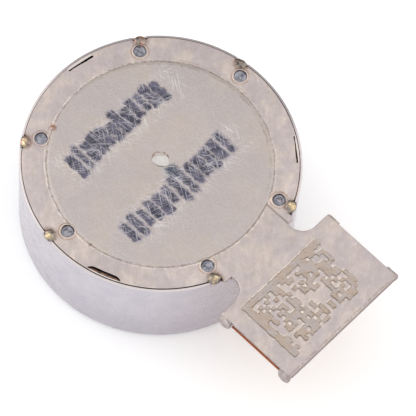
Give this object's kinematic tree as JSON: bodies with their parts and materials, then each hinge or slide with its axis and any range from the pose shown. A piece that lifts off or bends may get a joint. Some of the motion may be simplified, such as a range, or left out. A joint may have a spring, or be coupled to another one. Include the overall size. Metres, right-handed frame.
{
  "type": "vibration coin motor",
  "caption": "Flat round vibration motor: a steel can with a sprung magnet and weight inside, closed by a welded base plate whose stiff tab carries a flexible circuit with contact pads.",
  "frame": {"origin": "centre of the can's closed face", "axes": "+Z along the can's axis towards the base plate, +X along the contact tab"},
  "size_m": [0.0139, 0.01, 0.0042],
  "materials": {
    "can_steel": "polished nickel-plated steel, soft gloss",
    "plate_nickel": "satin nickel with faint clouding, frosted disc in the middle",
    "seal_glue": "cured whitish adhesive",
    "tinted_weld": "melted steel with gold heat tint",
    "spot_weld": "grey-blue spot weld floor",
    "polyimide": "amber polyimide film with copper inside",
    "film_glue": "pressure-sensitive film",
    "pad_gold": "flash gold on copper",
    "solder": "smooth tin solder",
    "copper_wire": "enamelled copper wire",
    "coil_glue": "clear epoxy",
    "copper_winding": "wound enamelled copper wire",
    "spring_steel": "rolled spring steel",
    "foam": "dark cellular foam",
    "yoke_steel": "drawn soft iron, nickel flash",
    "magnet_nickel": "nickel-plated sintered magnet",
    "tungsten": "sintered tungsten alloy, dark grey and finely pitted"
  },
  "bodies": {
    "stator": {"can": "can_steel", "base_plate": "plate_nickel", "centre_seal": "seal_glue", "rim_welds": "tinted_weld", "spring_welds": "spot_weld", "flex_circuit": "polyimide", "flex_adhesive": "film_glue", "contact_pads": "pad_gold", "solder_joints": "solder", "coil_leads": "copper_wire", "coil_adhesive": "coil_glue", "voice_coil": "copper_winding", "leaf_spring": "spring_steel", "upper_damper": "foam", "lower_damper": "foam"},
    "vibrator": {"yoke_cup": "yoke_steel", "magnet": "magnet_nickel", "pole_plate": "yoke_steel", "weight": "tungsten", "mass_welds": "spot_weld"}
  },
  "joints": [
    {"name": "vibrator_stroke", "type": "slide", "parent": "stator", "child": "vibrator", "axis": [0, 0, 1], "range_m": [-0.00055, 0.00055], "stiffness_N_per_m": 1400, "deforming": ["leaf_spring"]}
  ]
}
